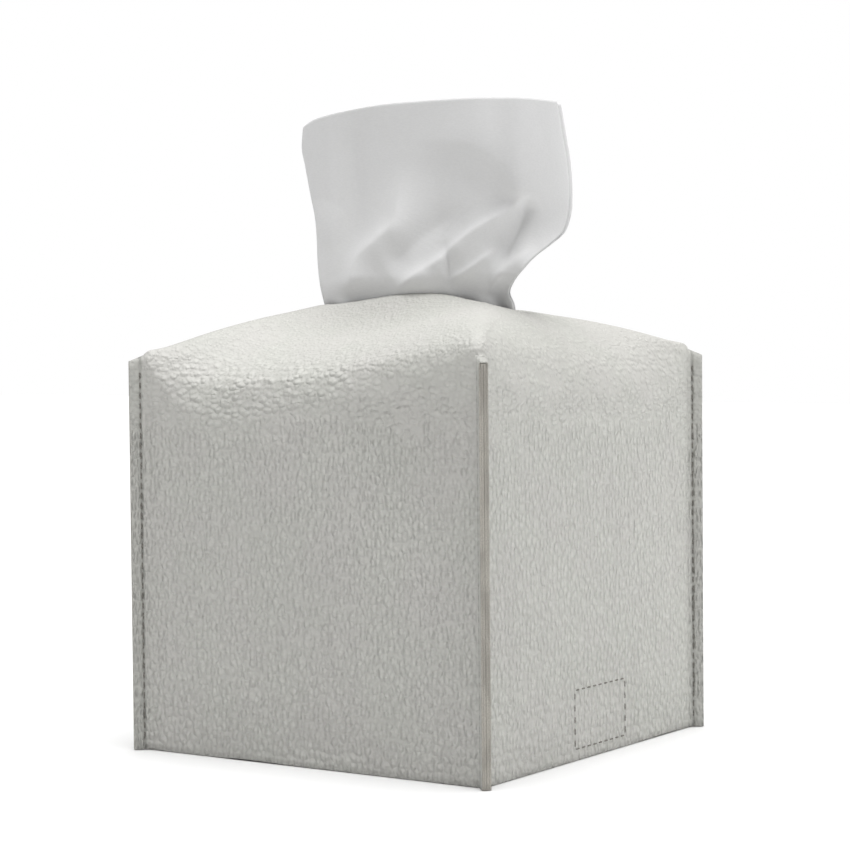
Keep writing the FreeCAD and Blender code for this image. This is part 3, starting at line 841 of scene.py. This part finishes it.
class TISSUECOVER_OT_seams(bpy.types.Operator):
    """Make the stitches of the four corner seams and the two stitched rectangles"""

    bl_idname = "tissuecover.seams"
    bl_label = "Seams"

    def execute(self, context):
        cover, thread, finish = in_mm(context, "cover", "thread", "finish")
        cotton = made("thread", thread_material, finish.thread)
        sheet = cover.leather_ply + cover.backing_ply
        # The stitches' way out from the cover's axis, in the middle of the fins' groove
        foot = cover.panel_half * math.sqrt(2) - sheet + thread.width + 1.0
        low, high = thread.seam_margin, cover.fin_tip_height - thread.seam_margin
        for quarter, name in enumerate(CORNER_NAMES):
            angle = math.radians(45 + 90 * quarter)
            radial = np.array([math.cos(angle), math.sin(angle), 0.0])
            tangent = np.array([-radial[1], radial[0], 0.0])
            rows = []
            for face in (-tangent, tangent):
                base = radial * foot + face * (sheet - SEAM_SINK)
                rows.append(stitch_row(base + [0, 0, low], base + [0, 0, high], face, thread))
            seam = mesh_object(f"seam_{name}", rows, [cotton], MERGE)
            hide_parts(f"corner_stitch_{name}")
            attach(seam, "cover")
        for half, side in (("strap", 1.0), ("tab", -1.0)):
            (_, y_low, z_low), (_, y_high, z_high) = node_box(f"{half}_box_stitch")
            z_low, z_high = z_low + thread.width / 2, z_high - thread.width / 2
            loop = [(y_low, z_low), (y_high, z_low), (y_high, z_high), (y_low, z_high), (y_low, z_low)]
            corners = [(side * cover.panel_half, y, z) for y, z in loop]
            rows = [stitch_row(*ends, [side, 0.0, 0.0], thread) for ends in zip(corners, corners[1:])]
            rectangle = mesh_object(f"{half}_rectangle", rows, [cotton], MERGE)
            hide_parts(f"{half}_box_stitch")
            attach(rectangle, "cover")
        return {"FINISHED"}


# The belt

# Points round a ply's section, the room in mm on each of its faces, and the tip's half width where it ends
BELT_RING, PLY_ROOM, TIP_HALF = 28, 0.03, 0.2


def belt_line(side, level, belt, inner_face, offset):
    """A ply's middle line and how far it has run: in from the tip, round the bend, and up the panel. It is
    the belt's own middle line moved sideways by offset, so the bend's radius takes the offset too. Returns x,
    z, the section's upward direction as x and z, and the distance from the tip along the flat part."""
    upright = inner_face - belt.ply
    radius = belt.bend - offset
    flat_x = np.linspace(-belt.width / 2, upright - belt.bend, 60)
    bent = np.linspace(0, np.pi / 2, 9)[1:]
    rise = np.linspace(level + belt.bend, belt.anchor_top, 12)[1:]
    bent_x = upright - belt.bend + radius * np.sin(bent)
    bent_z = level + belt.bend - radius * np.cos(bent)
    x = np.concatenate([flat_x, bent_x, np.full(len(rise), upright - offset)])
    z = np.concatenate([np.full(len(flat_x), level + offset), bent_z, rise])
    tangent = np.stack([np.gradient(x), np.gradient(z)], -1)
    tangent /= np.linalg.norm(tangent, axis=-1, keepdims=True)
    return side * x, z, side * -tangent[:, 1], tangent[:, 0], flat_x - flat_x[0]


def belt_ply(side, level, belt, inner_face, offset):
    """A ply as a rounded strip: a flat oval section carried along its line, its width closing in a half
    circle at the tip: w(s) = sqrt(r² - (r - s)²). The section is |cos|^0.18 wide and |sin|^0.5 tall."""
    x, z, up_x, up_z, from_tip = belt_line(side, level, belt, inner_face, offset)
    radius = belt.width / 2
    run = np.concatenate([from_tip, np.full(len(x) - len(from_tip), radius)])
    wide = np.sqrt(np.clip(radius**2 - np.clip(radius - run, 0, None) ** 2, TIP_HALF**2, None))
    ring = np.linspace(0, 2 * np.pi, BELT_RING + 1)[None, :-1]
    y = belt.shift + np.sign(np.cos(ring)) * np.abs(np.cos(ring)) ** 0.18 * wide[:, None]
    lift = np.sign(np.sin(ring)) * np.abs(np.sin(ring)) ** 0.5 * (belt.ply / 2 - PLY_ROOM)
    points = np.stack([x[:, None] + up_x[:, None] * lift, y, z[:, None] + up_z[:, None] * lift], -1)
    rung = np.arange(BELT_RING // 2 - 1)
    end = np.stack([rung, rung + 1, BELT_RING - 2 - rung, BELT_RING - 1 - rung], -1)
    faces = np.concatenate([cells(points, closed=True), end[:, ::-1], end + (len(x) - 1) * BELT_RING])
    return points, faces if side > 0 else faces[:, ::-1]


class TISSUECOVER_OT_belt(bpy.types.Operator):
    """Make the belt under the carton: the strap that opens and the fixed tab, with their edge stitches"""

    bl_idname = "tissuecover.belt"
    bl_label = "Belt"

    def execute(self, context):
        cover, thread, belt, finish = in_mm(context, "cover", "thread", "belt", "finish")
        grain = made("belt_leather", leather_material, "belt_leather", finish.leather, 1.5, 0.4, False)
        cotton = made("thread", thread_material, finish.thread)
        inner_face = cover.panel_half - cover.leather_ply - cover.backing_ply
        inset = belt.width / 2 - thread.belt_inset
        down = np.array([0.0, 0.0, -1.0])
        for half, side in (("strap", 1), ("tab", -1)):
            level = node_box(f"{half}_upper_ply")[0][2]
            offsets = (-belt.ply / 2, belt.ply / 2)
            plies = [belt_ply(side, level, belt, inner_face, offset) for offset in offsets]
            tongue = mesh_object(f"belt_{half}", plies, [grain])
            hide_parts(f"{half}_lower_ply", f"{half}_upper_ply", f"{half}_anchor")
            # The seam lies under the belt, round its tip and up to 1 mm from the bend
            under = level - belt.ply
            end = side * (inner_face - belt.ply - belt.bend - 1.0)
            rows = []
            for y in (belt.shift - inset, belt.shift + inset):
                rows.append(stitch_row((0, y, under), (end, y, under), down, thread))
            count = int(math.pi * inset / thread.pitch)
            angle = math.pi / 2 + math.pi * (np.arange(count) + 0.5) / count
            x, y = side * inset * np.cos(angle), belt.shift + inset * np.sin(angle)
            along = np.stack([-side * np.sin(angle), np.cos(angle), np.zeros(count)], -1)
            rows.append(stitches(np.stack([x, y, np.full(count, under)], -1), along, down, thread))
            seam = mesh_object(f"{half}_seam", rows, [cotton], MERGE)
            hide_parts(f"{half}_edge_stitch")
            if half == "strap":
                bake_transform(tongue)
                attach(seam, "strap")
            else:
                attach(tongue, "cover")
                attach(seam, "cover")
            dress(f"{half}_magnet", made("metal", metal_material, finish.metal))
        return {"FINISHED"}


def dress(node, material):
    """Gives a CAD node that stays its material."""
    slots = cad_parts[node].data.materials
    slots.clear()
    slots.append(material)


# The refill

# The carton's folded lower edge as shares of its half width and heights in mm. Its upper edge mirrors the
# last three rows, and between them are the walls' levels
CARTON_FOOT = np.array([(0, 0), (0.5, 0), (0.96, 0), (0.993, 0.1), (1, 0.45)])
CARTON_WALLS = np.array([(1, 12), (1, 30), (1, 50), (1, 75), (1, 95)])


def square_loop(count, power):
    """Points at even angles on the rounded square |x|^p + |y|^p = 1."""
    angle = np.linspace(0, 2 * np.pi, count + 1)[:-1]
    x, y = np.cos(angle), np.sin(angle)
    largest = (np.abs(x) ** power + np.abs(y) ** power) ** (1 / power)
    return x / largest, y / largest


def carton_grid(low, high, mouth_length, mouth_width):
    """The carton's outer face: rounded squares up its profile, then rows straight in to the mouth, which at
    each point's angle a is at x = clip(3 cos a, -1, 1) flat + r cos a, y = r sin a."""
    loop_x, loop_y = square_loop(160, 40.0)
    angle = np.arctan2(loop_y, loop_x)
    radius = mouth_width / 2
    flat = mouth_length / 2 - radius
    mouth_x = np.clip(np.cos(angle) * 3, -1, 1) * flat + np.cos(angle) * radius
    mouth_y = np.sin(angle) * radius
    head = CARTON_FOOT[:1:-1] * [1, -1] + [0, high[2] - low[2]]
    shrink, rise = np.concatenate([CARTON_FOOT, CARTON_WALLS, head]).T[:, :, None]
    x, y = loop_x * high[0] * shrink, loop_y * high[0] * shrink
    share = np.linspace(0, 1, 7)[1:, None]
    x = np.concatenate([x, x[-1] + (mouth_x - x[-1]) * share])
    y = np.concatenate([y, y[-1] + (mouth_y - y[-1]) * share])
    z = np.concatenate([low[2] + rise, np.full_like(share, high[2])])
    return np.stack([x, y, np.broadcast_to(z, x.shape)], -1)


def stack_grid(low, high, folds):
    """The folded tissues: rounded squares up the stack, its half width less 1.3 mm plus 0.7 |sin|^0.5 over
    each fold and an uneven 0.5 mm, closed to a pole below and above."""
    columns = 120
    level = np.linspace(0, 1, folds * 4 + 1)[:, None]
    loop_x, loop_y = square_loop(columns, 16.0)
    folded = 0.7 * np.abs(np.sin(level * folds * np.pi)) ** 0.5
    reach = high[0] - 1.3 + folded + 0.5 * noise(np.arange(columns)[None, :] / 9.0, level * folds, 91)
    z = np.broadcast_to(low[2] + (high[2] - low[2]) * level, reach.shape)
    body = np.stack([loop_x * reach, loop_y * reach, z], -1)
    top = np.stack([body[-1] * [s, s, 1] for s in (0.9, 0.6, 0.3, 0.0)])
    base = np.stack([body[0] * [s, s, 1] for s in (0.0, 0.5, 0.95)])
    return np.concatenate([base, body, top])


class TISSUECOVER_OT_refill(bpy.types.Operator):
    """Make the refill: the carton with its oval mouth, the film and the folded tissues"""

    bl_idname = "tissuecover.refill"
    bl_label = "Refill"

    def execute(self, context):
        refill, finish = in_mm(context, "refill", "finish")
        board = made("board", board_material, finish.board)
        points = carton_grid(*node_box("carton"), refill.mouth_length, refill.mouth_width)
        box = mesh_object("carton_board", [(points, cells(points, closed=True))], [board], MERGE)
        thicken(box, refill.board, -1.0)
        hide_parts("carton")
        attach(box, "cover")
        dress("carton_film", made("film", film_material, finish.film))

        paper = made("stack_paper", paper_material, "folded_tissues", finish.paper, 2200.0)
        points = stack_grid(*node_box("tissue_stack"), refill.fold_count)
        stack = mesh_object("folded_stack", [(points, cells(points, closed=True))], [paper], MERGE)
        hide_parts("tissue_stack")
        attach(stack, "cover")
        return {"FINISHED"}


# The raised tissue

# The sheet's left, right and top edges, the first two from the stack up, as x and z in mm
LEFT_EDGE = (
    (-33, 99.9), (-34.3, 118), (-35.8, 130), (-37.4, 139.5), (-38.9, 144), (-40.3, 149.2),
    (-41.3, 156.7), (-41.7, 164.3), (-42.4, 171.8), (-44.4, 180.1), (-46.4, 189.1), (-47.9, 196.1),
    (-47.3, 202.4),
)
RIGHT_EDGE = (
    (33, 99.9), (33.4, 118), (34.6, 130), (36, 137.5), (35.6, 142), (34, 146),
    (35.6, 149.4), (38.8, 152.9), (43.4, 156.9), (50.1, 161.2), (55, 164.9), (57.2, 170),
    (57.8, 176.3), (57, 186.6), (55.2, 196.2), (53.4, 205.9),
)
TOP_EDGE = (
    (-47.3, 202.4), (-43.5, 204.3), (-36, 205.9), (-27, 207.2), (-18.7, 208), (0.5, 208.5),
    (19.9, 208), (38.8, 207.1), (53.4, 205.9),
)
# Folds in mm: points of the crest as x and z, height towards the viewer, and breadth on the left and right of
# the crest, as its points run
FOLDS = (
    (((-30, 131), (-28.5, 146), (-24.5, 158), (-16.5, 164), (-9.5, 170.5), (-6.5, 190)), 4.4, 2.8, 11.0),
    (((-17, 139), (-5, 150), (4, 155), (12.5, 159)), 2.6, 1.3, 5.0),
    (((2, 152.5), (14.5, 161.8), (22, 166.4), (30, 170.4), (43, 177.2)), 4.2, 1.4, 9.0),
    (((9.5, 149), (20, 154), (31.5, 161)), 1.5, 1.2, 2.6),
    (((24.5, 140), (31, 152), (46, 160.5)), 2.6, 1.8, 5.0),
    (((-6, 198), (20, 193.5), (32, 187.5), (37.5, 180), (40, 166)), 4.4, 18.0, 7.0),
    (((42, 177), (38.5, 166), (31, 152)), -3.6, 2.4, 4.4),
    (((-27, 220), (-24.5, 185), (-25, 165), (-30, 140)), -4.0, 8.0, 8.0),
    (((-14, 154), (-4, 161), (6, 167), (20, 174)), -2.6, 6.0, 5.0),
    (((10, 164), (11.5, 154), (12.5, 144)), -1.4, 1.1, 1.6),
)
# How round a fold's crest is, as a share of its breadth
CREST_ROUNDING = 0.35
# A fold that stands out towards the front moves this much of its depth to the right, so that its crest is
# seen where the photograph, taken from the front right, has it
TURN_OF_VIEW = 0.677


def crest_distance(x, z, crest):
    """Signed distance to a fold's crest, positive on its left as its points run, and how far along it each
    point lies, 0 to 1."""
    crest = np.array(crest, float)
    path = curve(np.linspace(0, 1, len(crest)), crest, np.linspace(0, 1, 73))
    start, step = path[:-1], np.diff(path, axis=0)
    offset = np.stack([x, z], -1)[..., None, :] - start
    share = np.clip((offset * step).sum(-1) / (step**2).sum(-1), 0, 1)
    size = np.linalg.norm(offset - share[..., None] * step, axis=-1)
    nearest = size.argmin(-1)[..., None]
    sign = np.sign(step[:, 0] * offset[..., 1] - step[:, 1] * offset[..., 0])
    distance = np.take_along_axis(size * sign, nearest, -1)[..., 0]
    along = (nearest + np.take_along_axis(share, nearest, -1))[..., 0] / len(step)
    return distance, along


def tissue_outline(columns, rows):
    """The sheet's points as x and z: a patch between its four edges, left + right + top + foot less the
    corners' share."""
    u, v = np.linspace(0, 1, columns + 1), np.linspace(0, 1, rows + 1)

    def edge(points, at):
        points = np.array(points)
        size = np.concatenate([[0], np.cumsum(np.linalg.norm(np.diff(points, axis=0), axis=1))])
        return curve(size / size[-1], points, at)

    left, right = edge(LEFT_EDGE, v)[:, None], edge(RIGHT_EDGE, v)[:, None]
    top = edge(TOP_EDGE, u)[None]
    foot = left[0] + (right[0] - left[0]) * u[:, None]
    across, up = u[None, :, None], v[:, None, None]
    flat = (1 - across) * left + across * right + (1 - up) * foot + up * top
    flat -= (1 - across) * ((1 - up) * left[0] + up * left[-1])
    flat -= across * ((1 - up) * right[0] + up * right[-1])
    return flat[..., 0], flat[..., 1], u[None, :], v[:, None]


def tissue_grid(columns=150, rows=162):
    """The raised sheet's middle: over its outline, y is the sum of its folds, each exp(e - sqrt(e² + d²))
    across its crest and faded at the crest's ends, and of what the slot, its lip and the curls add. Points
    that come forwards also move to the right. Returns the grid and its shares across and up."""
    x, z, u, v = tissue_outline(columns, rows)
    y = np.zeros_like(x)
    for crest, height, left, right in FOLDS:
        distance, along = crest_distance(x, z, crest)
        breadth = np.where(distance > 0, left, right)
        fade = smooth(along / 0.25) * smooth((1 - along) / 0.3)
        across = np.sqrt(CREST_ROUNDING**2 + (distance / breadth) ** 2)
        y -= height * np.exp(CREST_ROUNDING - across) * fade
    # The folds fade out over the lip, and six and a half waves, 1 mm high, take over in the slot
    y = y * smooth((z - 144.5) / 8.0)
    gather = np.sin(u * 2 * np.pi * 6.5 + 1.5 * noise(u * 9, v * 4, 12))
    y = y + gather * (1 - smooth((z - 137.0) / 9.0))
    # It leans 7 mm forwards on the lip, more in its middle and less near its right end, and half that above
    at_lip = -7.0 - 2.4 * bump(x / 10.0) * bump((z - 149.0) / 5.0) + 2.6 * bump((x - 31.0) / 6.0)
    y = y + at_lip * smooth((z - 118.0) / 24.0) * (1 - 0.5 * smooth((z - 148.0) / 40.0))
    # Above the slot it is a little uneven, and its right side curls back by up to 12 mm, its left by up to 5
    uneven = 1.6 * noise(x / 40 + 9, z / 40, 3) + 0.4 * noise(x / 13, z / 17, 4)
    curl = np.clip((x - 28.0) / 30.0, 0, 1) ** 2 * 12.0 + smooth((-34.0 - x) / 16.0) * 5.0
    y = y + smooth((z - 146.0) / 20.0) * (uneven + curl)
    return np.stack([x - TURN_OF_VIEW * y, y, z], -1), u, v


def folded_sheet(tissue):
    """The sheet's two layers, joined at the left edge: the back one from right to left, then the front one,
    each the parting from the middle. They part more at the upper right and unevenly above the lip, and meet
    in a half round at the fold. The back layer is 0.8 mm shorter at the top."""
    middle, u, v = tissue_grid()
    parting = tissue.parting * (1 + 1.2 * smooth((u - 0.9) / 0.1) * smooth((v - 0.5) / 0.3))
    parting = parting + 0.5 * np.abs(noise(u * 5, v * 6, 33)) * smooth((v - 0.45) / 0.3)
    parting = parting * np.sqrt(np.clip(1 - (1 - np.clip(u / 0.02, 0, 1)) ** 2, 0, 1))
    step = parting[..., None] * [0.0, 1.0, 0.0]
    front, back = middle - step, middle + step
    back[..., 2] -= 0.8 * smooth((v - 0.9) / 0.1)
    return np.concatenate([back[:, ::-1], front[:, 1:]], 1)


class TISSUECOVER_OT_tissue(bpy.types.Operator):
    """Make the raised tissue: one sheet folded at its left edge, gathered in the slot and fanned out above"""

    bl_idname = "tissuecover.tissue"
    bl_label = "Raised Tissue"

    def execute(self, context):
        tissue, finish = in_mm(context, "tissue", "finish")
        paper = made("paper", paper_material, "soft_tissue", finish.paper)
        points = folded_sheet(tissue)
        piece = mesh_object("raised_tissue", [(points, cells(points))], [paper])
        thicken(piece, tissue.paper, 0.0)
        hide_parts("tissue")
        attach(piece, "tissue")
        return {"FINISHED"}


# The stage

# Soft lights: name, kind, place, the point that each one faces, width or spread, and power
LIGHTS = (
    ("top_light", "SUN", (0.07, -0.05, 2.0), (0.0, 0.0, 0.0), 1.0, 4.0),
    ("right_light", "AREA", (1.3, -0.25, 0.5), (0.03, 0.0, 0.15), 0.4, 2.2),
    ("side_light", "AREA", (0.25, 0.30, 0.10), (0.065, 0.03, 0.07), 0.12, 0.24),
    ("left_light", "AREA", (-0.42, -0.38, 0.30), (-0.04, -0.06, 0.09), 0.2, 0.12),
)
# The floor's half width, and how far it lies under the cover's rim, in mm
FLOOR_HALF, FLOOR_DROP = 3000.0, 0.2


class TISSUECOVER_OT_stage(bpy.types.Operator):
    """Make the pale floor, the soft studio light and the camera at the photograph's place"""

    bl_idname = "tissuecover.stage"
    bl_label = "Stage"

    def execute(self, context):
        scene = context.scene
        stage = scene.tissuecover_stage
        edges = (-FLOOR_HALF, FLOOR_HALF)
        corners = np.array([[(x, y, -FLOOR_DROP) for x in edges] for y in edges])
        paper = made("floor", floor_material, stage.floor)
        floor = mesh_object("floor", [(corners, cells(corners))], [paper])
        self.make_sky(scene, stage)
        for name, kind, place, aim, size, power in LIGHTS:
            lamp = bpy.data.lights.new(name, kind)
            lamp.energy = power
            if kind == "SUN":
                lamp.angle = size
            else:
                lamp.shape, lamp.size = "DISK", size
            light = bpy.data.objects.new(name, lamp)
            light.visible_camera = False
            light.location = place
            look = np.array(aim) - np.array(place)
            tilt = math.acos(-look[2] / np.linalg.norm(look))
            light.rotation_euler = (tilt, 0.0, math.atan2(look[1], look[0]) - math.pi / 2)
            scene.collection.objects.link(light)
        data = bpy.data.cameras.new("photo_camera")
        data.sensor_width = 36.0
        data.lens = stage.camera_lens
        data.clip_end = 20.0
        camera = bpy.data.objects.new("photo_camera", data)
        camera.location = stage.camera_place
        camera.rotation_euler = (math.pi / 2 - stage.camera_pitch, 0.0, stage.camera_azimuth)
        camera.rotation_euler.rotate_axis("Z", stage.camera_roll)
        scene.collection.objects.link(camera)
        scene.camera = camera
        return {"FINISHED"}

    def make_sky(self, scene, stage):
        """A white surround: one brightness where the camera sees it, another where it lights the scene."""
        world = bpy.data.worlds.new("studio")
        world.use_nodes = True
        sky = Maker(world.node_tree)
        seen = sky.node("ShaderNodeLightPath")
        strength = stage.sky_light * (1 - seen) + stage.sky_seen * seen
        background = world.node_tree.nodes["Background"]
        background.inputs["Color"].default_value = (1.0, 1.0, 1.0, 1.0)
        world.node_tree.links.new(strength.socket, background.inputs["Strength"])
        scene.world = world
        scene.view_settings.view_transform = "Standard"


OPERATORS = (
    TISSUECOVER_OT_stage,
    TISSUECOVER_OT_cover,
    TISSUECOVER_OT_seams,
    TISSUECOVER_OT_belt,
    TISSUECOVER_OT_refill,
    TISSUECOVER_OT_tissue,
)


class TISSUECOVER_PT_panel(bpy.types.Panel):
    """Buttons for the pieces, then their sizes and colours"""

    bl_idname = "TISSUECOVER_PT_panel"
    bl_label = "Tissue Box Cover"
    bl_space_type = "VIEW_3D"
    bl_region_type = "UI"
    bl_category = "Tissue Cover"

    def draw(self, context):
        for operator in OPERATORS:
            self.layout.operator(operator.bl_idname, text=operator.bl_label)
        for attribute, group in GROUPS.items():
            box = self.layout.box()
            for name in group.__annotations__:
                box.prop(getattr(context.scene, attribute), name)


CLASSES = (*GROUPS.values(), *OPERATORS, TISSUECOVER_PT_panel)


def register():
    for cls in CLASSES:
        bpy.utils.register_class(cls)
    for attribute, group in GROUPS.items():
        setattr(bpy.types.Scene, attribute, bpy.props.PointerProperty(type=group))


def unregister():
    for attribute in GROUPS:
        delattr(bpy.types.Scene, attribute)
    for cls in reversed(CLASSES):
        bpy.utils.unregister_class(cls)


def main():
    register()
    for operator in OPERATORS:
        getattr(bpy.ops.tissuecover, operator.bl_idname.split(".")[1])()


if __name__ == "__main__":
    main()
